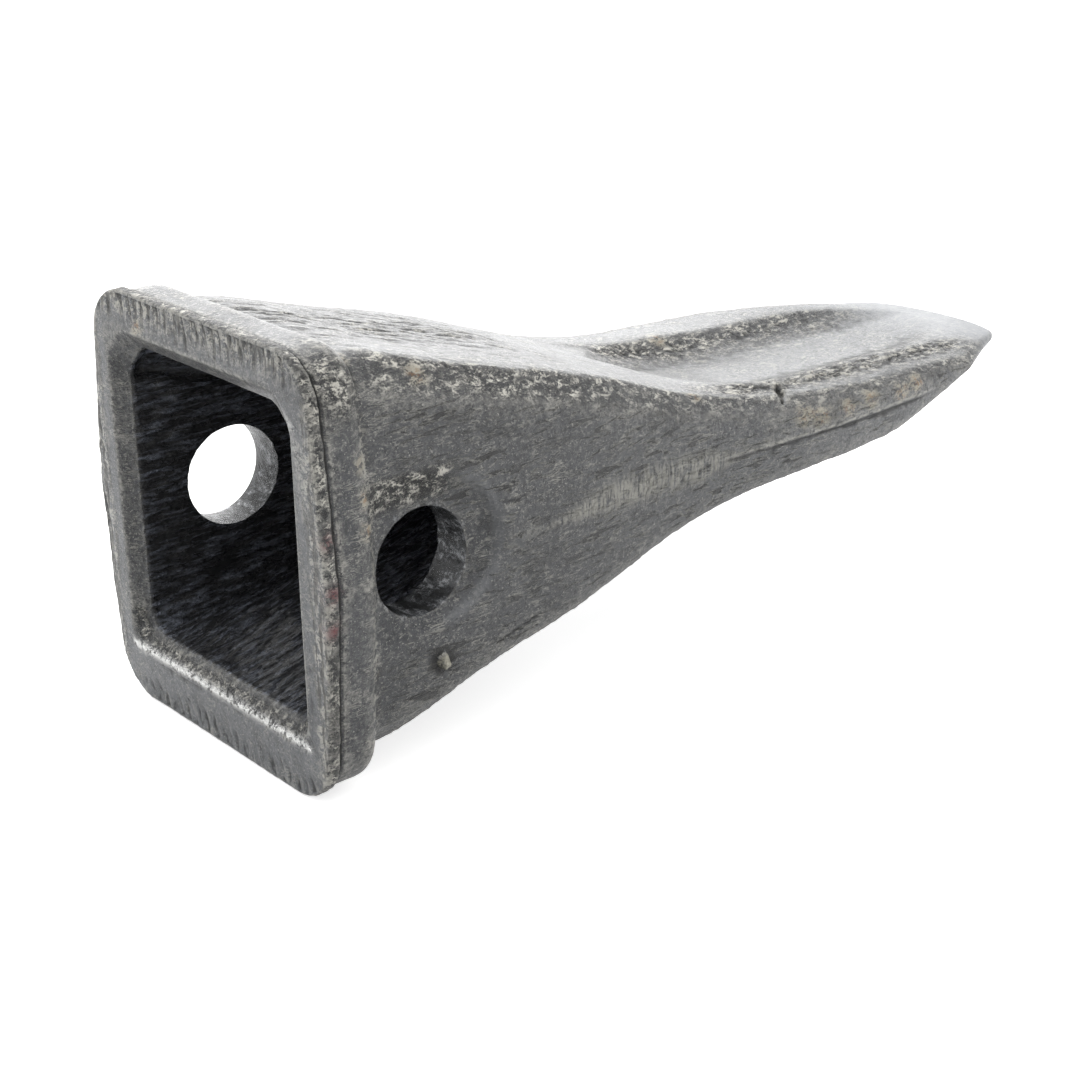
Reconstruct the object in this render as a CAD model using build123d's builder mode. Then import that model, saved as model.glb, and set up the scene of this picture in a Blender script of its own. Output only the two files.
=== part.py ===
from build123d import *
import os

os.makedirs("parts", exist_ok=True)

# A reversible bucket tooth, drop-forged in one piece. Millimetres, +Z up.
# The origin is the centre of the pin bore, +X runs to the tip, Y is the pin axis.
# The dies part on Z = 0, so every side wall leans in above and below that plane.
BORE_DIAMETER = 25.0
REAR_X = -28.5
TIP_X = 234.0

# Forged sections: X, half width at the parting plane, height above it,
# depth below it, fall of the outer land, flat across the long corners and
# roll about X in degrees: the nose is twisted a little against the mouth.
SECTIONS = [
    (-20.0, 43.2, 47.2, 44.2, 0.5, 7.2, 0.0),
    (15.0, 44.4, 40.4, 38.4, 0.6, 6.9, 0.0),
    (50.0, 43.0, 30.8, 30.4, 0.7, 6.3, -0.3),
    (80.0, 40.3, 20.2, 22.2, 0.9, 5.1, -1.2),
    (105.0, 40.2, 13.0, 16.6, 1.0, 3.9, -2.2),
    (135.0, 42.2, 9.2, 14.0, 1.3, 3.0, -2.8),
    (170.0, 42.0, 7.1, 12.0, 1.2, 2.4, -3.0),
    (202.0, 41.2, 5.2, 9.0, 0.8, 1.8, -3.0),
    (220.0, 40.6, 3.3, 5.4, 0.4, 1.1, -3.0),
    (238.0, 40.0, 0.9, 1.4, 0.1, 0.3, -3.0),
]
SIDE_DRAFT = 0.095
LAND_START = 27.0
NOSE_ROLL = -3.0

# Collar round the mouth: a lip, a shallow step and a second rounded band.
COLLAR_HALF_WIDTH = 46.0
COLLAR_TOP = 51.8
COLLAR_BOTTOM = 51.0
COLLAR_CORNER = 13.0
LIP_THICKNESS = 3.5
BAND_THICKNESS = 12.0
BAND_STEP = 0.9
BAND_ROUND = 4.5
LIP_CHAMFER = 0.6

# Tapered socket for the adapter nose, punched from the rear: X, half width,
# height and depth. It flares at the mouth and is blunt at its closed end.
SOCKET_SECTIONS = [
    (-28.5, 36.2, 42.6, 37.7),
    (-25.0, 32.9, 38.5, 33.8),
    (71.0, 29.1, 13.3, 14.2),
    (74.0, 26.2, 10.4, 11.3),
]
SOCKET_CORNERS = (6.5, 3.6, 1.4)

# Spot face sunk round each end of the pin bore, widening to the collar.
FACE_OFFSET = 41.1
FACE_RADIUS = 16.0
FACE_CENTRE = (4.0, 2.0)
FACE_REAR_TOP = (-13.0, 22.0)
FACE_REAR_BOTTOM = (-13.0, -15.5)
FACE_SLOPE = 30.0

# Dished hollow on each broad face of the nose: X, height of its floor
# above the parting plane and half width of that floor.
HOLLOW_SECTIONS = [
    (85.0, 20.0, 8.0),
    (98.0, 13.4, 13.5),
    (112.0, 8.4, 16.5),
    (135.0, 4.8, 17.5),
    (170.0, 3.2, 17.5),
    (200.0, 2.8, 15.5),
    (226.0, 3.4, 11.0),
]
HOLLOW_SLOPE = 1.4
HOLLOW_OFFSET = -4.0
HOLLOW_CORNER = 4.0

# Bevel that thins the rounded tip to a narrow land at the parting plane.
TIP_LAND = 0.7
TIP_BEVEL = 55.0
TIP_OFFSET = -2.0


def forged_section(x, half_width, top, bottom, fall, corner, roll):
    """Section widest at the parting plane, its long corners cut back."""
    high = top - fall
    low = bottom - fall
    high_side = half_width - SIDE_DRAFT * high
    low_side = half_width - SIDE_DRAFT * low
    with BuildSketch(Plane.YZ.offset(x).rotated((0, 0, roll))) as section:
        with BuildLine():
            Polyline(
                (half_width, 0),
                (high_side, high),
                (LAND_START, top),
                (-LAND_START, top),
                (-high_side, high),
                (-half_width, 0),
                (-low_side, -low),
                (-LAND_START, -bottom),
                (LAND_START, -bottom),
                (low_side, -low),
                close=True,
            )
        make_face()
        corners = section.vertices().filter_by(
            lambda v: abs(v.Y) > 0.1 and abs(v.X) > LAND_START + 1
        )
        chamfer(corners, corner)
    return section.sketch


def socket_section(x, half_width, height, depth):
    """Rectangle with eased corners, the upper pair the softer."""
    with BuildSketch(Plane.YZ.offset(x)) as section:
        with Locations((0, (height - depth) / 2)):
            Rectangle(2 * half_width, height + depth)
        chamfer(section.vertices().group_by(Axis.Y)[-1], SOCKET_CORNERS[0])
        chamfer(section.vertices().group_by(Axis.Y)[0], SOCKET_CORNERS[1])
        chamfer(section.vertices(), SOCKET_CORNERS[2])
    return section.sketch


def hollow_section(x, floor, half_width):
    """Flat-bottomed trough, open at the top, with sloping eased sides."""
    rim = 30.0
    spread = half_width + HOLLOW_SLOPE * (rim - floor)
    with BuildSketch(Plane.YZ.offset(x)) as section:
        with BuildLine():
            Polyline(
                (half_width, floor),
                (spread, rim),
                (-spread, rim),
                (-half_width, floor),
                close=True,
            )
        make_face()
        chamfer(section.vertices().group_by(Axis.Y)[0], HOLLOW_CORNER)
    return section.sketch


# Hollows: the two troughs sunk into the upper and lower face of the nose.
with BuildPart() as hollows:
    for row in HOLLOW_SECTIONS:
        add(hollow_section(*row))
    loft()
    mirror(about=Plane.XY)

# Tip envelope: the rounded plan outline, narrower above and below its land.
with BuildPart() as tip_envelope:
    with BuildSketch(Plane.XY.offset(-TIP_LAND)):
        with BuildLine():
            front = JernArc((TIP_X, 0), (0, 1), 48, 20)
            corner = JernArc(front @ 1, front % 1, 16, 43)
            flank = Line(corner @ 1, corner @ 1 + (corner % 1) * 110)
            Polyline(flank @ 1, (90, (flank @ 1).Y), (90, 0))
            mirror(about=Plane.XZ)
        make_face()
    land = extrude(amount=2 * TIP_LAND)
    extrude(land.faces().sort_by(Axis.Z)[-1], amount=15, taper=TIP_BEVEL)
    extrude(land.faces().sort_by(Axis.Z)[0], amount=15, taper=TIP_BEVEL)

# Tip waste: what is trimmed off a plain block to leave that outline.
with BuildPart() as tip_waste:
    with Locations((TIP_X - 35, 0, 0)):
        Box(110, 130, 30)
    add(tip_envelope.part, mode=Mode.SUBTRACT)

# Collar: the lip at the rear face and the rounded band in front of it.
with BuildPart() as collar:
    with BuildSketch(Plane.YZ.offset(REAR_X)) as collar_outline:
        with BuildLine():
            Polyline(
                (COLLAR_HALF_WIDTH, 0),
                (COLLAR_HALF_WIDTH - 4.6, COLLAR_TOP),
                (-COLLAR_HALF_WIDTH + 4.6, COLLAR_TOP),
                (-COLLAR_HALF_WIDTH, 0),
                (-COLLAR_HALF_WIDTH + 3.6, -COLLAR_BOTTOM),
                (COLLAR_HALF_WIDTH - 3.6, -COLLAR_BOTTOM),
                close=True,
            )
        make_face()
        fillet(
            collar_outline.vertices().filter_by(lambda v: abs(v.Y) > 1),
            COLLAR_CORNER,
        )
    extrude(amount=LIP_THICKNESS)
    with BuildSketch(Plane.YZ.offset(REAR_X)):
        offset(collar_outline.face(), amount=-BAND_STEP)
    extrude(amount=LIP_THICKNESS + BAND_THICKNESS)
    fillet(faces().sort_by(Axis.X)[-1].edges(), BAND_ROUND)
    chamfer(faces().sort_by(Axis.X)[0].edges(), LIP_CHAMFER)

# Socket: tapered pocket, straight between its sections.
with BuildPart() as socket:
    for row in SOCKET_SECTIONS:
        add(socket_section(*row))
    loft(ruled=True)

# Body: one smooth loft through the forged sections, trimmed to the tip.
with BuildPart() as tooth:
    for row in SECTIONS:
        add(forged_section(*row))
    loft()
    nose_roll = Rotation(NOSE_ROLL, 0, 0)
    add(Pos(Y=TIP_OFFSET) * nose_roll * tip_waste.part, mode=Mode.SUBTRACT)
    add(Pos(Y=HOLLOW_OFFSET) * nose_roll * hollows.part, mode=Mode.SUBTRACT)

    # Spot faces: flats sunk into the bulged side walls, with sloping rims.
    for outward in (1, -1):
        with BuildSketch(Plane.XZ.offset(outward * FACE_OFFSET)) as spot_face:
            with Locations(FACE_CENTRE):
                Circle(FACE_RADIUS)
            with BuildLine():
                Polyline(
                    FACE_REAR_TOP,
                    (FACE_CENTRE[0] + 2, FACE_CENTRE[1] + FACE_RADIUS - 0.2),
                    (FACE_CENTRE[0], FACE_CENTRE[1] - FACE_RADIUS),
                    FACE_REAR_BOTTOM,
                    close=True,
                )
            make_face()
        extrude(amount=outward * 9, taper=-FACE_SLOPE, mode=Mode.SUBTRACT)

    add(collar.part)

    add(socket.part, mode=Mode.SUBTRACT)

    # Pin bore straight through both side walls.
    Cylinder(
        BORE_DIAMETER / 2, 120, rotation=(90, 0, 0), mode=Mode.SUBTRACT
    )

tooth.part.label = "tooth"
export_step(tooth.part, "parts/tooth.step")
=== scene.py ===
# %% [markdown]
# # A forged bucket tooth, from solid to portrait
#
# A bucket tooth is the wedge of hard steel that does the digging at the lip of
# an excavator's bucket. It is forged hot between two dies, so it is one lump of
# metal: a collar round a tapered socket, two side walls with a hole for the
# locking pin, and a long nose that thins to a rounded cutting edge.
#
# The solid model already has the right size. This lesson turns a copy of it into
# something that looks as if it had been through the furnace: softened corners,
# hammered scale, laps, trimmed flash, oil and a little rust.

# %% Load the solid and measure it
import math

import bpy
import numpy as np
from mathutils import Euler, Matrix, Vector


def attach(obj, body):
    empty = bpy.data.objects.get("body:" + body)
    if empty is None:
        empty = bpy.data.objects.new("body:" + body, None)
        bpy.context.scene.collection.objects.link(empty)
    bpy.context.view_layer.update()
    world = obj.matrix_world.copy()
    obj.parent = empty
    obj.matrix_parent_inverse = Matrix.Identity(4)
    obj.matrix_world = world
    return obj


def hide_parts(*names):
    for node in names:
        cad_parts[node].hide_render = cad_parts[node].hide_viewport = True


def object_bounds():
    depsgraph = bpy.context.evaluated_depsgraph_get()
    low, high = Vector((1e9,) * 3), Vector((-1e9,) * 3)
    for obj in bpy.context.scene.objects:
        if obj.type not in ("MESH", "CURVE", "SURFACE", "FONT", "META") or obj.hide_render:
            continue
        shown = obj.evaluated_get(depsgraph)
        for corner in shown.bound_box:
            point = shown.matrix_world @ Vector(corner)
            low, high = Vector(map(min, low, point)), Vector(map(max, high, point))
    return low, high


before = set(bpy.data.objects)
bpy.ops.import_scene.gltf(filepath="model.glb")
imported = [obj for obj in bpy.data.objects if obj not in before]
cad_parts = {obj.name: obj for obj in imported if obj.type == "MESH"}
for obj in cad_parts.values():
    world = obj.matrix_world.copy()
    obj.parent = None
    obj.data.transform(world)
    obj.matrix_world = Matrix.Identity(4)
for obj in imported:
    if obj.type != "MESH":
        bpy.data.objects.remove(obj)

cad_low, cad_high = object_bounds()
MM = 0.001
print("solid:", [round(v / MM, 1) for v in cad_high - cad_low], "mm")

# %% [markdown]
# ## The camera
#
# The camera comes first, because every later choice is judged through it. The
# tooth is seen from behind its mouth, a little from above, with a short
# telephoto lens, so the collar is large and the nose runs away into the picture.

# %% Place the camera
camera_data = bpy.data.cameras.new("portrait_camera")
camera_data.sensor_width = 36.0
camera_data.lens = 64.57
camera_data.clip_start = 0.01
camera_data.clip_end = 20.0
camera = bpy.data.objects.new("portrait_camera", camera_data)
camera.location = (-0.23594, -0.34706, 0.16518)
camera.rotation_euler = Euler([math.radians(a) for a in (67.406, 0.498, -41.676)])
bpy.context.scene.collection.objects.link(camera)
bpy.context.scene.camera = camera
bpy.context.scene.view_settings.view_transform = "Standard"
print("lens", camera_data.lens, "mm")

# %% [markdown]
# ## A copy to work on
#
# The solid itself stays as it is, so the work is done on a copy. Blender's
# operators act on whatever is selected and active, and a small helper clears the
# selection and picks one object, as a click would. The solid's mesh is loose
# triangles, so the copy is merged first.

# %% Copy the mesh and merge it
def pick(piece):
    bpy.ops.object.select_all(action="DESELECT")
    piece.select_set(True)
    bpy.context.view_layer.objects.active = piece


tooth = bpy.data.objects.new("forged_tooth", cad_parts["tooth"].data.copy())
bpy.context.scene.collection.objects.link(tooth)
tooth.data.materials.clear()
pick(tooth)
bpy.ops.object.mode_set(mode="EDIT")
bpy.ops.mesh.select_all(action="SELECT")
bpy.ops.mesh.remove_doubles(threshold=0.01 * MM)
bpy.ops.mesh.select_all(action="DESELECT")
bpy.ops.object.mode_set(mode="OBJECT")
print("merged to", len(tooth.data.vertices), "points")

# %% [markdown]
# ## Plug the bore
#
# The surface is about to be softened and battered, while the bore is machined
# last and must stay crisp. It could be protected with a mask, but that leaves a
# soft rim. Instead its walls are taken out and both ends closed, and it is
# drilled again at the end, just as in the workshop.

# %% Take out the bore's walls and close the holes
BORE_RADIUS = 12.5 * MM
in_bore = 0
for face in tooth.data.polygons:
    corners = [tooth.data.vertices[i].co for i in face.vertices]
    radii = [math.hypot(c.x, c.z) for c in corners]
    across = abs(face.normal.y) < 0.5 and abs(face.center.y) > 25 * MM
    face.select = across and all(abs(r - BORE_RADIUS) < 0.1 * MM for r in radii)
    in_bore += face.select
print("bore faces:", in_bore)
bpy.ops.object.mode_set(mode="EDIT")
bpy.ops.mesh.delete(type="FACE")
bpy.ops.mesh.select_all(action="SELECT")
bpy.ops.mesh.fill_holes(sides=0)
bpy.ops.object.mode_set(mode="OBJECT")

# %% [markdown]
# ## Even clay
#
# Sculpting needs an even mesh. Subdividing would keep the long thin triangles of
# the solid, so a voxel remesh wraps the form in small squares instead, two thirds
# of a millimetre wide, fine enough for the dents that scale leaves in the steel.
# A second helper sets up a modifier and applies it, as a click on Apply would.

# %% Remesh into even squares
def finish_with(piece, kind, **settings):
    modifier = piece.modifiers.new(kind.title(), kind)
    for name, value in settings.items():
        setattr(modifier, name, value)
    pick(piece)
    bpy.ops.object.modifier_apply(modifier=modifier.name)


SQUARE = 0.66 * MM
finish_with(tooth, "REMESH", mode="VOXEL", voxel_size=SQUARE, use_smooth_shade=True)
print("after remesh:", len(tooth.data.polygons), "faces")

# %% [markdown]
# ## Painting weights by place
#
# A forging is not equally rough all over. Each effect below is held in by a
# vertex group, which is what weight painting makes. Weights worked out from where
# a point lies and which way it faces fit the form better than a brush would, so
# they are computed instead of painted.

# %% Read points and write weights
def points_of(piece):
    flat = np.empty(3 * len(piece.data.vertices), np.float32)
    piece.data.vertices.foreach_get("co", flat)
    return flat.reshape(-1, 3).astype(float) / MM


def normals_of(piece):
    flat = np.empty(3 * len(piece.data.vertices), np.float32)
    piece.data.vertex_normals.foreach_get("vector", flat)
    return flat.reshape(-1, 3).astype(float)


WEIGHT_STEPS = 60


def weigh(piece, name, weights):
    group = piece.vertex_groups.get(name) or piece.vertex_groups.new(name=name)
    steps = np.round(np.clip(weights, 0.0, 1.0) * WEIGHT_STEPS).astype(int)
    for step in range(WEIGHT_STEPS + 1):
        chosen = np.nonzero(steps == step)[0].tolist()
        if chosen:
            group.add(chosen, step / WEIGHT_STEPS, "REPLACE")


p = points_of(tooth)
print("points:", len(p), "from", p.min(0).round(1), "to", p.max(0).round(1))

# %% [markdown]
# Three soft curves describe every place. A ramp rises between two measures, a
# band is a ramp up and a ramp down again, and a bell peaks at one measure and
# fades on both sides, like the stroke of a soft brush.

# %% Soft curves
def ramp(value, low, high):
    t = np.clip((value - low) / (high - low), 0.0, 1.0)
    return t * t * (3.0 - 2.0 * t)


def band(value, low, high, soft):
    return ramp(value, low - soft, low + soft) * (1.0 - ramp(value, high - soft, high + soft))


def bell(value, middle, width):
    return np.exp(-(((value - middle) / width) ** 2))


print("a ramp from 0 to 4 mm reads", ramp(np.arange(5.0), 0.0, 4.0).round(2))

# %% [markdown]
# The socket is a tapered pocket that a punch pressed in from the rear. Its walls
# are flat, so each is given by how far out it lies at the mouth, 25 mm behind the
# bore, and by how much it leans in per millimetre. The flare of the last few
# millimetres is taken off before a point is compared with them.

# %% Find the socket's walls
def socket_weight(points, margin):
    x, y, z = points.T
    depth = x + 25.0
    top = 38.5 - 0.2625 * depth
    bottom = -33.8 + 0.2042 * depth
    side = 32.9 - 0.0396 * depth
    inside = np.minimum(np.minimum(top - z, z - bottom), side - np.abs(y))
    flare = np.clip(-25.0 - x, 0.0, 3.5)
    inside = np.minimum(inside + flare, 75.0 - x)
    return ramp(inside, -margin, 0.0)


print("points in the socket:", int((socket_weight(p, 1.5) > 0.5).sum()))

# %% [markdown]
# The zones are the places that wear or scale in a way of their own: the pad round
# the bore, the cropped rear face, the side walls and the shoulders above them,
# the two crests of the nose's hollow, the rims of the collar and the parting
# line. Each is a few curves multiplied, in millimetres on the solid.

# %% Map the zones of the tooth
COLLAR_CORNER = (-19.0, -39.5, 45.0)


def zones(points, normals, margin):
    x, y, z = points.T
    across = np.abs(normals[:, 1])
    rearward = -normals[:, 0]
    inside = socket_weight(points, margin)
    outer = 1.0 - inside
    length = ramp(x, -13.0, -5.0) * (1.0 - ramp(x, 200.0, 222.0))
    pad = band(x, -14.0, 23.0, 2.0) * band(z, -17.0, 24.0, 3.0) * (np.abs(y) > 36.0)
    round_pad = band(x, -14.0, 27.0, 2.0) * band(z, -21.0, 26.0, 2.0)
    trough = ramp(x, 88.0, 112.0) * (1.0 - ramp(x, 196.0, 214.0)) * (across < 0.8)
    from_corner = np.linalg.norm(points - COLLAR_CORNER, axis=1)
    tall = 0.5 + 3.1 * ramp(x, 30.0, 64.0) * (1.0 - 0.85 * ramp(x, 84.0, 108.0))
    parting = np.abs(z + 1.6 - 1.8 * bell(x, 58.0, 24.0)) / tall
    return {
        "inside": inside,
        "outer": outer,
        "pad": pad,
        "rear": ramp(rearward, 0.7, 0.95) * (1.0 - ramp(x, -28.0, -27.0)) * outer,
        "side": ramp(across, 0.75, 0.95) * outer,
        "shoulder": bell(across, 0.50, 0.27) * length * outer
        * (1.0 - 0.35 * ramp(x, 30.0, 100.0)) * (1.0 - round_pad),
        "far_wall": bell(y, 16.0 - 0.07 * (x - 150.0), 3.2) * trough
        * (1.0 - 0.85 * ramp(x, 112.0, 155.0)),
        "crest": bell(y, -29.5, 4.2) * trough,
        "lip": bell(x, -26.4, 1.5) * outer,
        "band_edge": bell(x, -14.2, 1.3) * (1.0 - ramp(np.abs(z), 44.0, 50.0)) * outer,
        "below": bell(across, 0.84, 0.10) * length * outer * (z > 0),
        "top_edge": bell(z, 49.0, 3.5) * ramp(rearward, 0.5, 0.9) * outer,
        "corner": outer * bell(from_corner, 0.0, 6.5),
        "pad_top": pad * band(z, 14.5, 21.0, 1.5) * (1.0 - ramp(x, 2.0, 14.0)),
        "flash": np.clip(1.5 - parting, 0.0, 1.0) * ramp(x, 18.0, 52.0)
        * (1.0 - ramp(x, 92.0, 112.0)) * ramp(across, 0.7, 0.9) * outer,
        "mouth": bell(x, -27.0, 1.4) * ramp(inside, 0.1, 0.6),
    }


x, y, z = p.T
zone = zones(p, normals_of(tooth), 1.5)
print("zones:", ", ".join(zone))

# %% [markdown]
# ## Soft corners
#
# Hot steel never quite fills the corners of a die, so every edge outside is
# round. A Bevel would need clean edges, which a remeshed piece no longer has, so
# the Smooth modifier melts the flats that stand for those corners. It works hard
# on the body, gently on the collar and hardly at all at the cutting edge, which
# would shrink away.

# %% Melt the long corners
melt = ramp(x, -13.5, -9.0) * (1.0 - ramp(x, 206.0, 226.0)) * zone["outer"]
weigh(tooth, "melt", melt * (1.0 - zone["pad"]))
finish_with(tooth, "SMOOTH", factor=0.5, iterations=50, vertex_group="melt")
gentle = zone["pad"] + 0.5 * band(x, -14.0, -8.0, 2.0)
gentle += 0.5 * zone["inside"] * ramp(x, -24.0, -18.0)
weigh(tooth, "gentle", gentle)
finish_with(tooth, "SMOOTH", factor=0.5, iterations=34, vertex_group="gentle")
weigh(tooth, "tip", 0.8 * ramp(x, 196.0, 214.0))
finish_with(tooth, "SMOOTH", factor=0.5, iterations=10, vertex_group="tip")
finish_with(tooth, "SMOOTH", factor=0.5, iterations=2)
print("softened to", points_of(tooth).min(0).round(1), points_of(tooth).max(0).round(1))

# %% [markdown]
# ## Where the surface is rough
#
# Scale is pressed hardest into the shoulders where metal flowed past the edge of
# the die: along the long corners of the body, the crests either side of the
# nose's hollow, and the collar's rims. Faces between them are calmer.

# %% Work out the rough bands
def crust_of(zone):
    total = 0.8 * zone["shoulder"] + 0.6 * zone["far_wall"] + 0.75 * zone["crest"]
    rims = 0.8 * zone["lip"] * (1.0 - zone["rear"]) + 0.9 * zone["corner"]
    total += rims + 0.9 * zone["pad_top"]
    return np.clip(total * (1.0 - zone["inside"]), 0.0, 1.0)


p = points_of(tooth)
n = normals_of(tooth)
x, y, z = p.T
zone = zones(p, n, 1.5)
rough = crust_of(zone) + 0.8 * zone["mouth"] * (z < -28.0)
weigh(tooth, "rough", rough)
weigh(tooth, "all_over", 0.25 + 0.75 * zone["outer"])
print("share of rough surface:", rough.mean().round(3))

# %% [markdown]
# ## Relief
#
# The Displace modifier pushes points along their normals by a procedural
# texture. Broad clouds stand for worn dies, small hard clouds for scale that was
# hammered in and fell out again, and the finest for the faint orange peel that
# every forging has. A bump map alone would leave the outline smooth.

# %% Displace with clouds
def cloud(name, size, depth, hard=False):
    texture = bpy.data.textures.new(name, "CLOUDS")
    texture.noise_scale = size
    texture.noise_depth = depth
    texture.noise_type = "HARD_NOISE" if hard else "SOFT_NOISE"
    return texture


def roughen(piece, group, texture, depth, level=0.5, stretch=None, turn=(0, 0, 0)):
    settings = {"texture_coords": "LOCAL"}
    if stretch:
        bpy.ops.object.empty_add(location=(0, 0, 0))
        grain = bpy.context.object
        grain.scale = [s * MM for s in stretch]
        grain.rotation_euler = [math.radians(a) for a in turn]
        bpy.context.view_layer.update()
        settings = {"texture_coords": "OBJECT", "texture_coords_object": grain}
    finish_with(piece, "DISPLACE", texture=texture, strength=depth * MM,
                mid_level=level, vertex_group=group, **settings)
    if stretch:
        bpy.data.objects.remove(grain)


def moved(piece, before):
    return np.linalg.norm(points_of(piece) - before, axis=1).max().round(2)


roughen(tooth, "all_over", cloud("worn_dies", 30 * MM, 1), 0.8)
roughen(tooth, "rough", cloud("hammered_scale", 2.6 * MM, 4, True), 0.85, 0.35)
roughen(tooth, "rough", cloud("fallen_scale", 8 * MM, 2), 0.8, 0.5)
weigh(tooth, "crest", zone["crest"] * ramp(x, 96.0, 116.0))
roughen(tooth, "crest", cloud("crest_lumps", 4.5 * MM, 3, True), 1.7, 0.3)
roughen(tooth, "all_over", cloud("orange_peel", 2.2 * MM, 3), 0.14)
print("relief moves points by up to", moved(tooth, p), "mm")

# %% [markdown]
# The laps are folds that run with the flow of the metal on the upper face, and
# the punch left streaks along the socket. Both need a texture that is longer than
# it is wide. An empty lends the modifier its stretched coordinates and is thrown
# away afterwards.

# %% Fold the upper face and draw the socket
flat_top = ramp(np.abs(n[:, 2]), 0.75, 0.93) * zone["outer"] * ramp(x, -14.0, -8.0)
laps = flat_top * (1.0 - ramp(x, 45.0, 80.0)) * (0.25 + 0.75 * bell(y, 4.0, 16.0))
weigh(tooth, "laps", laps)
roughen(tooth, "laps", cloud("laps", 1.0, 2, True), 1.35, 0.2, (15, 3.2, 6), (0, 0, -12))
weigh(tooth, "drawn", zone["inside"] * ramp(x, -26.0, -20.0) * (1.0 - ramp(x, 60.0, 70.0)))
roughen(tooth, "drawn", cloud("drawn", 1.0, 3), 1.0, 0.5, (9, 1.8, 1.8), (0, 0, 8))
print("laps cover", (laps > 0.5).mean().round(3), "of the points")

# %% [markdown]
# The rear face was cropped and the flash trimmed in a press, and both cuts leave
# short upright strokes. They are the same stretched clouds, stood on end.

# %% Shear the rear face and trim the flash
edge = np.clip(ramp(z, 42.0, 50.0) + 0.8 * ramp(y, 40.0, 45.0) + 0.7 * ramp(-z, 42.0, 49.0), 0, 1)
weigh(tooth, "sheared", zone["rear"] * (0.1 + 0.9 * edge))
roughen(tooth, "sheared", cloud("sheared", 1.0, 2), 1.4, 0.9, (4, 1.9, 9), (-14, 0, 0))
weigh(tooth, "flash", zone["flash"])
roughen(tooth, "flash", cloud("flash", 1.0, 2, True), 0.55, 0.1, (1.1, 3, 7), (0, 14, 0))
print("with laps, streaks and strokes, up to", moved(tooth, p), "mm")

# %% [markdown]
# ## Marks with a place of their own
#
# Some marks are single events. The two dies met slightly out of line, which left
# a low step along the parting line of the nose, and a knock made a notch across
# its crest. Carving them with a brush would do as well; here each is a weight
# and one push, so that its place can be given in millimetres.

# %% Step the parting line and knock in the notch
def push(piece, name, weights, height):
    weigh(piece, name, weights)
    finish_with(piece, "DISPLACE", strength=height * MM, mid_level=0.0, vertex_group=name)
    print(name, "pushed by", height, "mm")


def streak(points, start, end, width):
    a, b = np.array(start, float), np.array(end, float)
    along = np.clip(((points - a) @ (b - a)) / ((b - a) @ (b - a)), 0.0, 1.0)
    gap = np.linalg.norm(points - (a + along[:, None] * (b - a)), axis=1)
    taper = 1.0 - 0.6 * np.abs(2.0 * along - 1.0) ** 2
    return np.exp(-((gap / (width * taper)) ** 2))


PARTING_RISE = 0.012
step_line = -1.9 + PARTING_RISE * (x - 116.0)
upper_half = ramp(z - step_line, 0.0, 0.5) * (1.0 - ramp(z, 1.5, 9.0))
upper_half = upper_half * band(x, 112.0, 176.0, 6.0)
push(tooth, "mismatch", upper_half * (y < 0) * ramp(np.abs(n[:, 1]), 0.5, 0.8), 0.45)
push(tooth, "notch", streak(p, (119.6, -38.4, 8.0), (125.2, -31.6, 9.6), 1.1), -1.9)

# %% [markdown]
# A small spat of metal was flattened on the side wall below the bore. It is a
# slab that leans by 23 degrees, whose cosine and sine are 0.92 and 0.39. The few
# gouges beside the bore and below it come from handling.

# %% Spat and gouges
SPAT = (4.5, -43.0, -24.9)
across, along = x - SPAT[0], z - SPAT[2]
across, along = 0.92 * across + 0.39 * along, 0.92 * along - 0.39 * across
slab = np.maximum(np.abs(across) / 1.3, np.abs(along) / 2.3)
push(tooth, "spatter", ramp(slab, 1.15, 0.55) * (y < -38.0), 1.7)
gouges = streak(p, (15.5, -43.6, 12.8), (24.0, -43.4, 10.9), 0.7)
gouges += streak(p, (19.0, -43.6, 9.0), (27.0, -43.2, 7.8), 0.6)
gouges += streak(p, (20.0, -42.0, -26.4), (34.0, -41.6, -23.0), 0.6)
push(tooth, "gouges", gouges, -0.4)

# %% [markdown]
# The socket's far upper corner reaches a little deeper than the flat that stands
# for it in the solid, and the lip ends in a small groove before the second band
# of the collar. Both are pushed in along the normals.

# %% Deepen the socket's corner and cut the groove behind the lip
LIP_GROOVE = -24.4
diagonal = np.array((0.0, -0.7071, -0.7071))
corner = ramp(n @ diagonal, 0.75, 0.95) * zone["inside"] * ramp(y, 20.0, 24.0)
push(tooth, "socket_corner", corner * ramp(z, 20.0, 26.0) * ramp(x, -25.0, -22.0), -1.2)
groove = bell(x, LIP_GROOVE, 0.5) * zone["outer"] * (1.0 - zone["rear"])
push(tooth, "lip_step", groove, -0.9)

# %% [markdown]
# ## Thin out what is flat
#
# The even mesh is far denser than the calm faces need. Decimate joins its small
# squares where little happens and keeps them where the relief is.

# %% Decimate
TRIANGLES_KEPT = 184000
triangles = sum(len(f.vertices) - 2 for f in tooth.data.polygons)
finish_with(tooth, "DECIMATE", ratio=min(1.0, TRIANGLES_KEPT / triangles))
print("thinned from", triangles, "triangles to", len(tooth.data.polygons), "faces")

# %% [markdown]
# ## Grind to gauge
#
# Scale that stands prouder than the collar, the feet of the side walls or the
# tip would keep the tooth out of its gauge. A block of the finished size takes
# it off, as a grinder does, so the battered piece is no larger than the solid.

# %% Keep what lies inside the gauge block
bpy.ops.object.select_all(action="DESELECT")
bpy.ops.mesh.primitive_cube_add(
    size=1.0, location=(cad_low + cad_high) / 2, scale=cad_high - cad_low,
)
gauge = bpy.context.object
bpy.ops.object.transform_apply(location=True, rotation=True, scale=True)
finish_with(tooth, "BOOLEAN", operation="INTERSECT", object=gauge, solver="EXACT")
bpy.data.objects.remove(gauge)
print("inside the gauge:", len(tooth.data.polygons), "faces")

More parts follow.
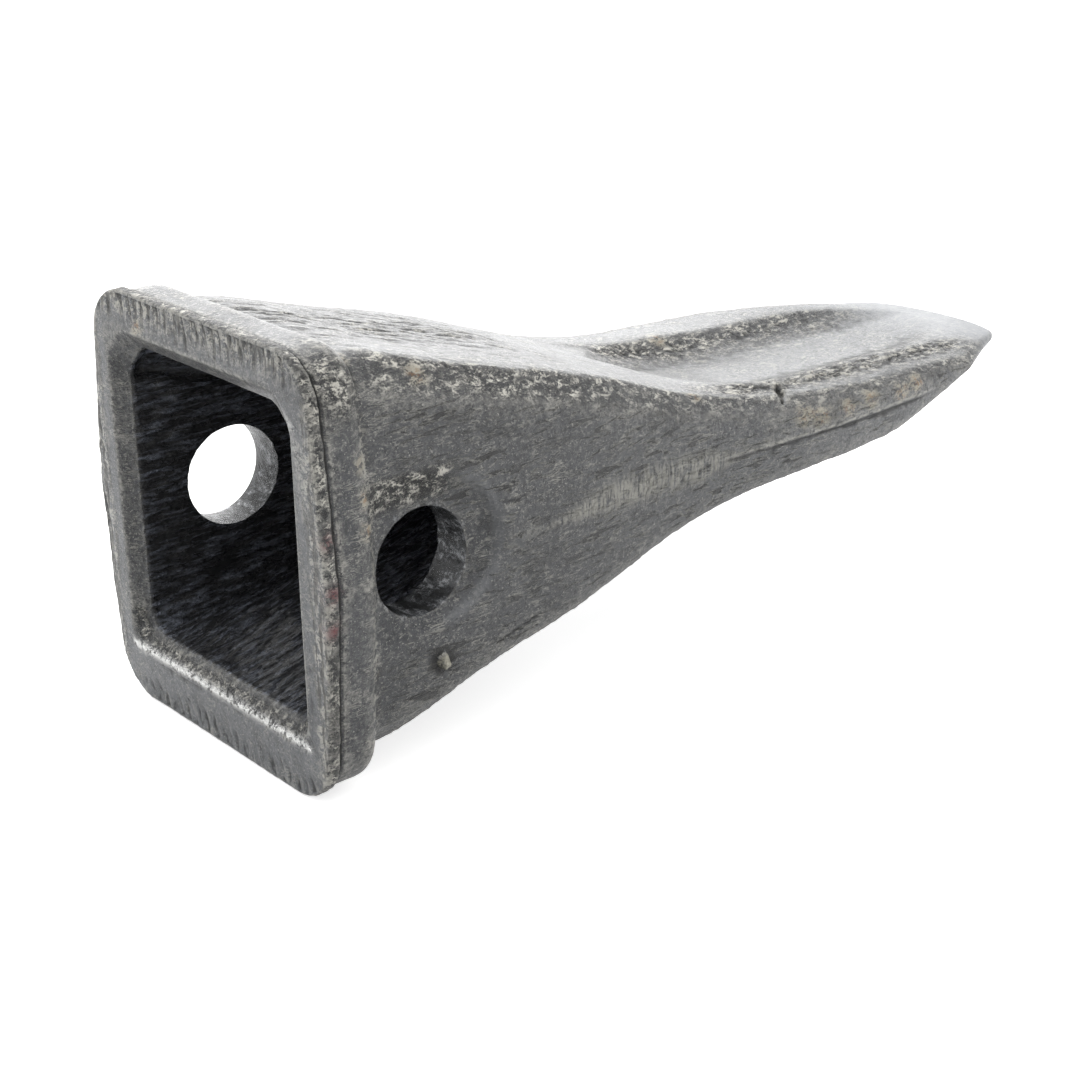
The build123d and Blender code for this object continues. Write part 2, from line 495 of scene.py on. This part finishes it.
# %% [markdown]
# ## Bore the pin hole
#
# With the forging finished, the hole is cut with a Boolean, like the drill that
# went through both walls. The cutter is a hair wider than the plugged hole, so
# no skin is left behind.

# %% Cut both walls in one pass
CUTTER_RADIUS = 12.55
bpy.ops.object.select_all(action="DESELECT")
bpy.ops.mesh.primitive_cylinder_add(
    vertices=144, radius=CUTTER_RADIUS * MM, depth=130 * MM,
    rotation=(math.radians(90), 0, 0),
)
drill = bpy.context.object
bpy.ops.object.transform_apply(location=True, rotation=True, scale=True)
finish_with(tooth, "BOOLEAN", operation="DIFFERENCE", object=drill, solver="EXACT")
bpy.data.objects.remove(drill)
print("after boring:", len(tooth.data.polygons), "faces")

# %% [markdown]
# ## Marks the finish will read
#
# The material needs to know what stands proud and what lies low. Cavity from an
# image bake would do, but it ties the look to one picture size. Here the surface
# is compared with a smoothed version of itself, and the answer is written as an
# attribute on the points. The colour makes what stands proud lighter, partly as
# rubbing and partly as a painted highlight, and what lies low darker as painted
# shade.

# %% Find what stands proud
def mark(piece, name, values):
    values = np.clip(values, 0.0, 1.0).astype(np.float32)
    piece.data.attributes.new(name, "FLOAT", "POINT").data.foreach_set("value", values)
    print(name, "marks", int((values > 0.5).sum()), "points")


def relief_of(piece, rounds):
    points = points_of(piece)
    pairs = np.empty(2 * len(piece.data.edges), np.int32)
    piece.data.edges.foreach_get("vertices", pairs)
    pairs = pairs.reshape(-1, 2)
    count = np.bincount(pairs.ravel(), minlength=len(points))[:, None]
    calm = points.copy()
    for _ in range(rounds):
        total = np.zeros_like(calm)
        for axis in range(3):
            total[:, axis] = np.bincount(pairs[:, 0], calm[pairs[:, 1], axis], len(calm))
            total[:, axis] += np.bincount(pairs[:, 1], calm[pairs[:, 0], axis], len(calm))
        calm = 0.5 * calm + 0.5 * total / count
    return np.einsum("ij,ij->i", points - calm, normals_of(piece))


pick(tooth)
bpy.ops.object.vertex_group_remove(all=True)
p = points_of(tooth)
n = normals_of(tooth)
x, y, z = p.T
zone = zones(p, n, 0.8)
mark(tooth, "proud", 0.5 + 2.8 * relief_of(tooth, 5) * (1.0 - 0.8 * zone["pad"]))

# %% [markdown]
# It also needs to know where the oily socket, the machined bore and the battered
# shoulders are, and how far along the nose a point lies. These come from the same
# zones that shaped the relief, so colour and relief agree.

# %% Mark the punched, bored and battered faces
mark(tooth, "in_socket", zone["inside"] * ramp(x, -26.0, -24.0))
drilled = (np.abs(np.hypot(x, z) - CUTTER_RADIUS) < 0.08) & (np.abs(y) > 25.0)
mark(tooth, "in_bore", drilled * 1.0)
mark(tooth, "crust", crust_of(zone) + 0.15 * zone["mouth"] + 0.4 * zone["mouth"] * (z < -28.0))
dark = 0.85 * zone["below"] + zone["pad_top"] + 0.2 * zone["far_wall"] + 0.5 * zone["corner"]
mark(tooth, "dark_scale", dark)
mark(tooth, "side", zone["side"] * ramp(x, -12.0, -8.0) * (1.0 - crust_of(zone)))
mark(tooth, "calm", ramp(np.abs(n[:, 2]), 0.8, 0.95) * (1.0 - crust_of(zone)))
mark(tooth, "tip", ramp(x, 190.0, 226.0))
mark(tooth, "nose", np.clip((x - 40.0) / 160.0, 0.0, 1.0))

# %% [markdown]
# Edges are where handling rubs the oxide off, and they also carry a painted
# highlight: the rear rim of the collar, the front edge of its band and the crest
# of the nose. The edge of the pad round the bore gets a pale ring that is a
# painted highlight, and the mouth's lower edge a bright line of painted highlight.

# %% Mark edges, cut faces and the highlight on the rim of the mouth
rim = bell(x, -28.2, 0.6) * (np.abs(y) > 40.0) * (1.0 - zone["inside"])
# rubbed edges that also carry a painted highlight
mark(tooth, "edge_wear_and_highlight", zone["band_edge"] + zone["top_edge"] + 0.7 * zone["crest"] + rim)
PAD_X, PAD_Z, RING_RADIUS = 4.0, 2.0, 17.0
# painted highlight: a pale ring on the rounded edge of the pad round the bore
pad_ring_highlight = bell(np.hypot(x - PAD_X, z - PAD_Z), RING_RADIUS, 1.3)
mark(tooth, "pad_ring_highlight", pad_ring_highlight * zone["pad"] * ramp(x, 2.0, 8.0))
# painted highlight: a bright line along the mouth's lower edge, on steel rubbed bare
rim_highlight_line = np.maximum(bell(z, -37.3, 1.1), 0.55 * bell(y, -35.9, 0.5) * band(z, -34.0, 40.0, 3.0))
mark(tooth, "rubbed_rim_highlight", rim_highlight_line * bell(x, -28.3, 1.0) * (np.abs(y) < 37.0))
mark(tooth, "rear_face", zone["rear"])
mark(tooth, "flash", zone["flash"])
mark(tooth, "mouth", zone["mouth"] * (z < -28.0))

# %% [markdown]
# Rust starts in single specks, and three flecks of red paint were rubbed on the
# collar. They are spots round given places.

# %% Mark rust, paint and the spat
RUST_SPECKS = [
    (-28.5, 22.4, 44.6), (-15.6, -43.3, 19.3), (-15.4, -43.3, 27.0),
    (-15.8, -43.3, 12.0), (91.7, -34.2, 15.4),
]
RUST_SPOTS = [
    (133.7, 21.1, 8.7), (124.9, -41.3, 4.2), (131.0, -41.5, 2.6),
    (162.6, -41.9, 2.0), (150.0, -41.5, 3.0), (141.0, -41.5, 2.6),
    (170.0, -41.8, 3.0), (-14.0, -32.0, 46.0), (4.0, -36.0, 40.0),
]
PAINT_FLECKS = [(-26.3, -45.9, 1.6), (-26.6, -45.5, -6.8), (-26.5, -45.7, 13.0)]


def spots(places, size):
    return sum(bell(np.linalg.norm(p - place, axis=1), 0.0, size) for place in places)


mark(tooth, "rust", spots(RUST_SPECKS, 2.0) + spots(RUST_SPOTS, 2.9))
mark(tooth, "paint", spots(PAINT_FLECKS, 1.9))
mark(tooth, "spatter", spots([SPAT], 2.0))

# %% [markdown]
# ## Forged alloy steel
#
# Chrome-molybdenum steel, drop-forged at about 1200 degrees and left as it came:
# a thin skin of dark blue-grey oxide with oil on it. To the eye it is a dark
# grey that is neither paint nor bare metal. Rubbed edges show brighter steel,
# pits are nearly black, and the oil makes broad soft reflections. Some highlights
# and shade are painted into the colour as well, as the marks below say. It is all
# one material, and the marks tell it which part of the piece it is on.

# %% Start the steel and read its marks
def node(material, kind, inputs=None, **settings):
    made = material.node_tree.nodes.new("ShaderNode" + kind)
    for name, value in settings.items():
        setattr(made, name, value)
    for name, value in (inputs or {}).items():
        socket = made.inputs[name]
        if isinstance(value, bpy.types.Node):
            value = value.outputs[0]
        if isinstance(value, bpy.types.NodeSocket):
            material.node_tree.links.new(value, socket)
        else:
            socket.default_value = value
    return made


steel = bpy.data.materials.new("forged_alloy_steel")
steel.use_nodes = True
steel.node_tree.nodes.clear()
place = node(steel, "TexCoord").outputs["Object"]
marks = {}
for name in (
    "crust", "nose", "tip", "calm", "dark_scale", "edge_wear_and_highlight", "mouth", "in_socket",
    "in_bore", "rear_face", "flash", "proud", "rust", "paint", "spatter", "rubbed_rim_highlight",
    "side", "pad_ring_highlight",
):
    marks[name] = node(steel, "Attribute", attribute_name=name).outputs["Fac"]
print("marks read:", len(marks))

# %% [markdown]
# The patterns carry the detail. An image texture would need unwrapping and would
# blur close up, so each is a noise on the piece's own coordinates, stretched to
# the size in millimetres that the thing has on the real tooth: mottling of the
# oxide, its speckle, threads of scratches, strokes left by trimming.

# %% Lay out the patterns
def pattern(size, detail, roughness, turn=0.0, distortion=0.0):
    sizes = size if isinstance(size, tuple) else (size, size, size)
    vector = node(steel, "Mapping", {
        "Vector": place,
        "Rotation": (0.0, math.radians(turn), 0.0),
        "Scale": tuple(1.0 / (s * MM) for s in sizes),
    })
    return node(steel, "TexNoise", {
        "Vector": vector, "Scale": 1.0, "Detail": detail, "Roughness": roughness,
        "Distortion": distortion,
    })


broad = pattern(22, 4.0, 0.6)
patches = pattern(6, 6.0, 0.65)
grain = pattern(1.3, 5.0, 0.75)
speckle = pattern(0.5, 3.0, 0.7)
dashes = pattern((2.0, 1.0, 0.45), 2.0, 0.6, 12, 0.8)
fibres = pattern((9, 4, 1.5), 2.0, 0.5, 16, 1.2)
crossed = pattern((8, 4, 1.4), 2.0, 0.5, -40, 1.0)
shear = pattern((0.8, 0.8, 5), 3.0, 0.6, 12)
strokes = pattern((1.4, 1.4, 9), 3.0, 0.6)
drawn = pattern((9, 1.3, 1.3), 4.0, 0.65)
dents = pattern((7.5, 4, 1.3), 4.0, 0.6, 14, 0.7)
pin_wear = pattern((2.2, 5, 2.2), 5.0, 0.7)
plates = pattern((2.9, 1.7, 1.5), 6.0, 0.7, 10, 0.5)
print("patterns down to 0.5 mm,", len(steel.node_tree.nodes), "nodes")

# %% [markdown]
# Flakes of scale are thin plates, each broken up by finer grit, so two of the
# patterns are added: the plates at full height and the speckle at under a half.
# Taking off half of that share brings their middle back to one half.

# %% Break the plates up into flakes
flakes = node(steel, "Math", {0: speckle, 1: 0.45, 2: plates}, operation="MULTIPLY_ADD")
flakes = node(steel, "Math", {0: flakes, 1: 0.225}, operation="SUBTRACT")
print("flakes: the plates with 0.45 of the speckle,", len(steel.node_tree.nodes), "nodes")

# %% [markdown]
# Each finish is laid over the one below it where its mask says so, the way
# layers of scale, dirt and rubbing pile up on the piece. A mask is a pattern cut
# between two levels, and it can be held in by a mark. Below everything lie the
# colours of the oxide, darker at the mouth and paler on the cropped rear face,
# and a painted gradient of light that makes the nose paler towards its end.

# %% Mottle the oxide
def srgb(text):
    channels = [int(text[i:i + 2], 16) / 255 for i in (1, 3, 5)]
    linear = [c / 12.92 if c <= 0.04045 else ((c + 0.055) / 1.055) ** 2.4 for c in channels]
    return (*linear, 1.0)


def held(value, *limits):
    for limit in limits:
        value = node(steel, "Math", {0: value, 1: limit}, operation="MULTIPLY")
    return value


def mask(value, low, high, top=1.0, held_by=None):
    limits = {"From Min": low, "From Max": high, "To Max": top}
    shaped = node(steel, "MapRange", {"Value": value, **limits})
    return shaped if held_by is None else held(shaped, held_by)


def lay_over(under, layers):
    for where, over in layers:
        over = srgb(over) if isinstance(over, str) else over
        under = node(steel, "MixRGB", {"Fac": where, "Color1": under, "Color2": over})
    return under


colour = lay_over(srgb("#383a3d"), [
    (mask(broad, 0.3, 0.7), "#4c4e51"),
    # painted light: the nose is made paler towards its cutting end, a gradient of light painted
    # in
    (mask(marks["nose"], 0.0, 1.0, 0.6), "#85878a"),
    (mask(marks["rear_face"], 0.0, 1.0, 0.7), "#6a6d71"),
    (mask(patches, 0.46, 0.36, 0.45), "#303132"),
])
print("oxide:", len(steel.node_tree.nodes), "nodes")

# %% [markdown]
# Over the mottling go the fine things: light and dark grain, speckle and short
# dashes, and scratches from handling. A scratch is a thread, and a thread is
# where a pattern crosses one level, which leaves a thin winding line.

# %% Grain, speckle and scratches
def thread(value, level, width, top, held_by):
    gap = node(steel, "Math", {0: value, 1: level}, operation="SUBTRACT")
    gap = node(steel, "Math", {0: gap}, operation="ABSOLUTE")
    return mask(gap, width, 0.0, top, held_by)


handled = mask(patches, 0.50, 0.58)
plain = node(steel, "MapRange", {"Value": marks["rear_face"], "To Min": 1.0, "To Max": 0.4})
colour = lay_over(colour, [
    (mask(grain, 0.48, 0.40, 0.65, plain), "#232426"),
    (mask(grain, 0.55, 0.64, 0.6, plain), "#92918c"),
    (mask(speckle, 0.62, 0.66, 0.9), "#bcbab3"),
    (mask(speckle, 0.39, 0.35, 0.9), "#101011"),
    (mask(dashes, 0.64, 0.69, 0.7), "#a19f98"),
    (thread(fibres, 0.50, 0.025, 0.8, handled), "#b0aea6"),
    (thread(crossed, 0.50, 0.022, 0.7, handled), "#a8a69e"),
])
print("with grain and scratches:", len(steel.node_tree.nodes), "nodes")

# %% [markdown]
# On the side walls thick dark scale stayed below the shoulders, and the edge of
# the pad round the bore gets a pale ring, a painted highlight on its rounded rim.
# The long dents that loose scale pressed in are dark in the middle, which is
# painted shade, with a bright rim that is a painted highlight.

# %% Dark scale, the ring and the dents of the side walls
pressed = held(marks["side"], mask(broad, 0.40, 0.58))
colour = lay_over(colour, [
    (mask(patches, 0.62, 0.42, 0.75, marks["dark_scale"]), "#292825"),
    # painted highlight on the rounded edge of the pad
    (mask(marks["pad_ring_highlight"], 0.0, 1.0, 0.55), "#85878a"),
    # painted highlight: the bright rim of each dent
    (thread(dents, 0.565, 0.020, 0.85, pressed), "#b9b7af"),
    # painted shade: the dark middle of each dent
    (mask(dents, 0.575, 0.60, 0.95, pressed), "#161615"),
])
print("with the side walls:", len(steel.node_tree.nodes), "nodes")

# %% [markdown]
# On the shoulders the scale has chipped. The flakes' tops are rubbed pale and
# painted nearly white as highlights, their flanks are grey, and between them the
# pits are black.

# %% Chipped scale on the shoulders
chipped = held(marks["crust"], mask(patches, 0.34, 0.48))
rubbed_tops_and_highlights = mask(flakes, 0.54, 0.59, 1.0, mask(chipped, 0.1, 0.6))
colour = lay_over(colour, [
    (mask(flakes, 0.49, 0.54, 0.8, chipped), "#9c998f"),
    # painted highlight: the flakes' tops, rubbed pale and lifted nearly to white
    (rubbed_tops_and_highlights, "#dedbd2"),
    (mask(flakes, 0.48, 0.43, 0.95, marks["crust"]), "#151412"),
])
print("with chipped scale:", len(steel.node_tree.nodes), "nodes")

# %% [markdown]
# Edges are rubbed bright and carry a painted highlight, except for the dark
# strokes of the shears in the rear face, and the trimmed flash is a strip of fine
# bright lines. Then all that stands proud gets lighter, partly as rubbed steel and
# partly as a painted highlight, and all that lies low gets darker, which is
# painted shade.

# %% Rubbed and highlighted edges, shear strokes and the trimmed flash
cropped_edge = held(marks["edge_wear_and_highlight"], marks["rear_face"])
colour = lay_over(colour, [
    # rubbed edges, partly a painted highlight
    (mask(flakes, 0.50, 0.55, 0.85, marks["edge_wear_and_highlight"]), "#c4c1b8"),
    (mask(strokes, 0.52, 0.44, 0.9, cropped_edge), "#35342f"),
    (mask(shear, 0.42, 0.55, 0.9, marks["flash"]), "#a3a199"),
    # partly rubbed steel and partly a painted highlight on all that stands proud
    (mask(marks["proud"], 0.60, 0.95, 0.6, mask(grain, 0.40, 0.56)), "#aaa8a1"),
    # painted shade: all that lies low gets darker
    (mask(marks["proud"], 0.42, 0.10, 0.8), "#1f1f1c"),
])
print("with rubbed edges:", len(steel.node_tree.nodes), "nodes")

# %% [markdown]
# The small accidents come next: rust with a pale halo, the flecks of paint and
# the spat of metal. Each is broken up by the flakes, so that it sits in the
# surface and not on it. Last, the cutting end gets paler towards its edge.

# %% Rust, paint, the spat and the cutting end
rusted = marks["rust"]
colour = lay_over(colour, [
    (mask(flakes, 0.48, 0.52, 0.8, mask(rusted, 0.1, 0.6)), "#b8b2a2"),
    (mask(grain, 0.50, 0.56, 0.7, mask(rusted, 0.4, 0.9)), "#8f6b43"),
    (mask(flakes, 0.44, 0.52, 0.9, marks["paint"]), "#7c3a42"),
    (mask(flakes, 0.36, 0.50, 1.0, mask(marks["spatter"], 0.35, 0.5)), "#b8b4a4"),
    (mask(marks["tip"], 0.0, 1.0, 0.7), "#96989b"),
])
print("with rust and paint:", len(steel.node_tree.nodes), "nodes")

# %% [markdown]
# The step on the nose's parting line is in the mesh, but the squares are too
# coarse to keep its corner sharp. Two lines are drawn over it: a dark one of
# painted shade in the corner of the step and a bright painted highlight on its
# edge, both wandering a little.

# %% Sharpen the parting step
axes = node(steel, "SeparateXYZ", {"Vector": place}).outputs
slope = node(steel, "Math", {0: axes["X"], 1: PARTING_RISE, 2: -3.3 * MM},
             operation="MULTIPLY_ADD")
above = node(steel, "Math", {0: axes["Z"], 1: slope}, operation="SUBTRACT")
wander = node(steel, "Math", {0: patches, 1: 1.2 * MM, 2: -0.6 * MM},
              operation="MULTIPLY_ADD")
above = node(steel, "Math", {0: above, 1: wander}, operation="ADD")
reach = held(
    mask(axes["X"], 94 * MM, 104 * MM),
    mask(axes["X"], 182 * MM, 165 * MM),
    mask(axes["Y"], -30 * MM, -34 * MM),
)
painted_step_highlight = held(reach, mask(grain, 0.38, 0.50))
colour = lay_over(colour, [
    # painted shade: a dark line in the corner of the step
    (thread(above, 0.0, 0.6 * MM, 1.0, reach), "#171716"),
    # painted highlight: a bright line on the step's edge
    (thread(above, 0.95 * MM, 0.5 * MM, 0.8, painted_step_highlight), "#adaba4"),
])
print("with the parting step:", len(steel.node_tree.nodes), "nodes")

# %% [markdown]
# The groove behind the lip gets a dark line of painted shade, drawn the same way.
# Its line stops at the rear face and at the socket.

# %% Painted shade in the groove behind the lip
outside = held(mask(marks["in_socket"], 0.3, 0.0), mask(marks["rear_face"], 0.3, 0.0))
behind_lip = node(steel, "Math", {0: axes["X"], 1: wander}, operation="ADD")
# painted shade: a dark line in the groove behind the lip
painted_groove_shade = thread(behind_lip, LIP_GROOVE * MM, 0.5 * MM, 0.9, outside)
colour = lay_over(colour, [(painted_groove_shade, "#161615")])
print("with the groove:", len(steel.node_tree.nodes), "nodes")

# %% [markdown]
# The socket is nearly black and wet with oil, with paler streaks drawn by the
# punch that are partly painted highlights, and its lower edge has a bright line
# that is a painted highlight on steel rubbed bare. The bore is cut clean and then
# stained, and painted glints stand where the stain is thin.

# %% The punched socket and the bore
# painted highlight: the near-white line on the mouth's lower edge
painted_highlight_line = mask(flakes, 0.42, 0.48, 1.0, marks["rubbed_rim_highlight"])
# painted glints in the bore where the stain is thin
painted_glints = held(mask(pin_wear, 0.46, 0.60, 0.8), mask(grain, 0.47, 0.58))
# the punch's paler streaks, partly painted highlights on the oily floor
punched = lay_over(srgb("#16171a"), [(mask(drawn, 0.49, 0.60), "#6c7079")])
bored = lay_over(srgb("#151617"), [
    (mask(pin_wear, 0.40, 0.64, 0.6), "#595c60"),
    (painted_glints, "#b3b5b8"),
])
colour = lay_over(colour, [
    (mask(marks["in_socket"], 0.0, 1.0), punched),
    (painted_highlight_line, "#f0f0ee"),
    (mask(marks["in_bore"], 0.0, 1.0), bored),
])
print("all colours:", len(steel.node_tree.nodes), "nodes")

# %% [markdown]
# Oxide is dull, but where it was rubbed or chipped off, the bare steel mirrors
# the white room: the tops of the scale, the edge of the mouth, streaks in the
# socket and glints in the bore. There the material turns metallic.

# %% Where the steel is bare
def any_of(material, first, *others):
    for other in others:
        first = node(material, "Math", {0: first, 1: other}, operation="MAXIMUM")
    return first


bare = any_of(
    steel,
    painted_highlight_line,
    held(rubbed_tops_and_highlights, 0.5),
    held(marks["in_bore"], painted_glints, 0.8),
    held(mask(drawn, 0.53, 0.63), marks["in_socket"]),
    mask(marks["proud"], 0.65, 0.95, 0.5, mask(grain, 0.42, 0.56)),
)
metal = node(steel, "MapRange", {"Value": bare, "To Min": 0.1, "To Max": 1.0})
print("with bare steel:", len(steel.node_tree.nodes), "nodes")

# %% [markdown]
# Height for the bump follows the same patterns, so light and colour agree: the
# flakes stand up where they are pale. Each row is a pattern, how far it reaches
# in millimetres, and how strongly it shows.

# %% Stack the bumps
calmed = node(steel, "MapRange", {"Value": marks["calm"], "To Min": 1.0, "To Max": 0.3})
ground = None
for height, reach_mm, strength in (
    (held(flakes, marks["crust"]), 5.0, 1.0),
    (held(drawn, marks["in_socket"]), 5.0, 1.0),
    (held(mask(dents, 0.55, 0.62, 1.0, pressed), -1.0), 1.4, 1.0),
    (held(strokes, cropped_edge), 1.5, 1.0),
    (held(shear, marks["flash"]), 0.6, 1.0),
    (patches, 1.2, calmed),
    (grain, 0.8, calmed),
    (speckle, 0.25, calmed),
):
    below = {} if ground is None else {"Normal": ground}
    ground = node(steel, "Bump", {
        "Height": height, "Distance": reach_mm * MM, "Strength": strength, **below,
    })
print("with bumps:", len(steel.node_tree.nodes), "nodes")

# %% [markdown]
# Roughness runs from wet oil in the socket and the bore to dry scale on the
# shoulders, dull steel at the cutting end and dirt in whatever lies low. The
# later rows win over the earlier ones.

# %% Set how glossy each place is
gloss = node(steel, "MapRange", {
    "Value": patches, "From Min": 0.35, "From Max": 0.65, "To Min": 0.28, "To Max": 0.46,
})
gloss = node(steel, "Math", {0: marks["crust"], 1: 0.1, 2: gloss}, operation="MULTIPLY_ADD")
for where, roughness in (
    (mask(axes["X"], 140 * MM, 215 * MM), 0.54),
    (marks["in_socket"], 0.17),
    (marks["in_bore"], 0.13),
    (marks["mouth"], 0.2),
    (mask(marks["proud"], 0.42, 0.14), 0.75),
):
    gloss = node(steel, "Mix", {0: where, 2: gloss, 3: roughness})
print("with gloss:", len(steel.node_tree.nodes), "nodes")

# %% [markdown]
# One Principled shader takes all of it. The oil is a thin even film, so it is the
# shader's own coat and needs no layer of its own.

# %% Put the shader together
skin = node(steel, "BsdfPrincipled", {
    "Base Color": colour,
    "Roughness": gloss,
    "Metallic": metal,
    "Normal": ground,
    "Coat Weight": 0.15,
    "Coat Roughness": 0.15,
})
node(steel, "OutputMaterial", {"Surface": skin})
tooth.data.materials.append(steel)
print(steel.name, "has", len(steel.node_tree.nodes), "nodes")

# %% [markdown]
# ## Let it stand for the solid
#
# The relief is rounded, but the bore's rim and the ground faces are crisp, so the
# piece is shaded smooth only where faces meet at a gentle angle. It then takes
# the place of the solid it was copied from.

# %% Shade it smooth and let it stand for the solid
pick(tooth)
bpy.ops.object.shade_smooth_by_angle(angle=math.radians(55))
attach(tooth, "root")
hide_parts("tooth")
print(tooth.name, "has", len(tooth.data.polygons), "faces")

# %% [markdown]
# ## The studio
#
# The table is a sheet of white paper. It has to look white to the camera and in
# the steel, and yet keep the shadow that sets the tooth down on it. Camera and
# glossy rays see matt paper with a little light of its own; all other rays see a
# duller sheet, so it throws less light back up.

# %% Lay the paper on the table
TABLE_GAP = 0.2 * MM
bpy.ops.object.select_all(action="DESELECT")
bpy.ops.mesh.primitive_plane_add(size=8, location=(0.1, 0, cad_low.z - TABLE_GAP))
table = bpy.context.object
table.name = "table"
bpy.ops.object.transform_apply(location=True, rotation=True, scale=True)
paper = bpy.data.materials.new("white_paper")
paper.use_nodes = True
paper.node_tree.nodes.clear()
rays = node(paper, "LightPath").outputs
seen = any_of(paper, rays["Is Camera Ray"], rays["Is Glossy Ray"])
glow = node(paper, "MapRange", {
    "Value": rays["Is Camera Ray"], "To Min": 0.35, "To Max": 0.65,
})
lift = node(paper, "Emission", {"Color": srgb("#ffffff"), "Strength": glow})
matt = node(paper, "BsdfDiffuse", {"Color": srgb("#f4f4f4")})
bright = node(paper, "AddShader", {0: matt, 1: lift})
dull = node(paper, "BsdfDiffuse", {"Color": srgb("#c8c8c8")})
sheet = node(paper, "MixShader", {0: seen, 1: dull, 2: bright})
node(paper, "OutputMaterial", {"Surface": sheet})
table.data.materials.append(paper)
print(table.name, "at", round((cad_low.z - TABLE_GAP) / MM, 1), "mm")

# %% [markdown]
# The room is an even white. Rays that go straight to the camera, or that a glossy
# surface sends back, see it plain white; everything else gets its milder light,
# so the steel keeps its own depth of grey.

# %% Paint the room white
world = bpy.data.worlds.new("white_room")
bpy.context.scene.world = world
world.use_nodes = True
world.node_tree.nodes.clear()
rays = node(world, "LightPath").outputs
seen = any_of(
    world, rays["Is Camera Ray"], rays["Is Glossy Ray"], rays["Is Transmission Ray"],
)
level = node(world, "MapRange", {"Value": seen, "To Min": 0.34, "To Max": 1.0})
room = node(world, "Background", {"Color": srgb("#ffffff"), "Strength": level})
node(world, "OutputWorld", {"Surface": room})
print(world.name, "has", len(world.node_tree.nodes), "nodes")

# %% [markdown]
# Four soft boxes give the form its light and shade: a large one overhead, one
# behind for the gleam along the top, and two weak ones that lift the shadows at
# the left and at the cutting edge.

# %% Hang the lamps
def softbox(name, width, power, place, aim):
    lamp = bpy.data.lights.new(name, "AREA")
    lamp.size = width
    lamp.energy = power
    made = bpy.data.objects.new(name, lamp)
    made.location = place
    made.rotation_euler = (Vector(aim) - Vector(place)).to_track_quat("-Z", "Y").to_euler()
    bpy.context.scene.collection.objects.link(made)
    print(name, power, "W")


softbox("overhead", 2.2, 29.0, (0.20, 0.25, 1.30), (0.10, 0.0, 0.0))
softbox("behind", 1.7, 19.0, (1.10, 1.50, 0.50), (0.10, 0.0, 0.1))
softbox("left_fill", 0.7, 4.0, (-0.65, 0.50, 0.40), (0.0, 0.0, 0.0))
softbox("tip_fill", 0.5, 2.8, (0.60, -0.45, 0.40), (0.20, 0.0, 0.0))
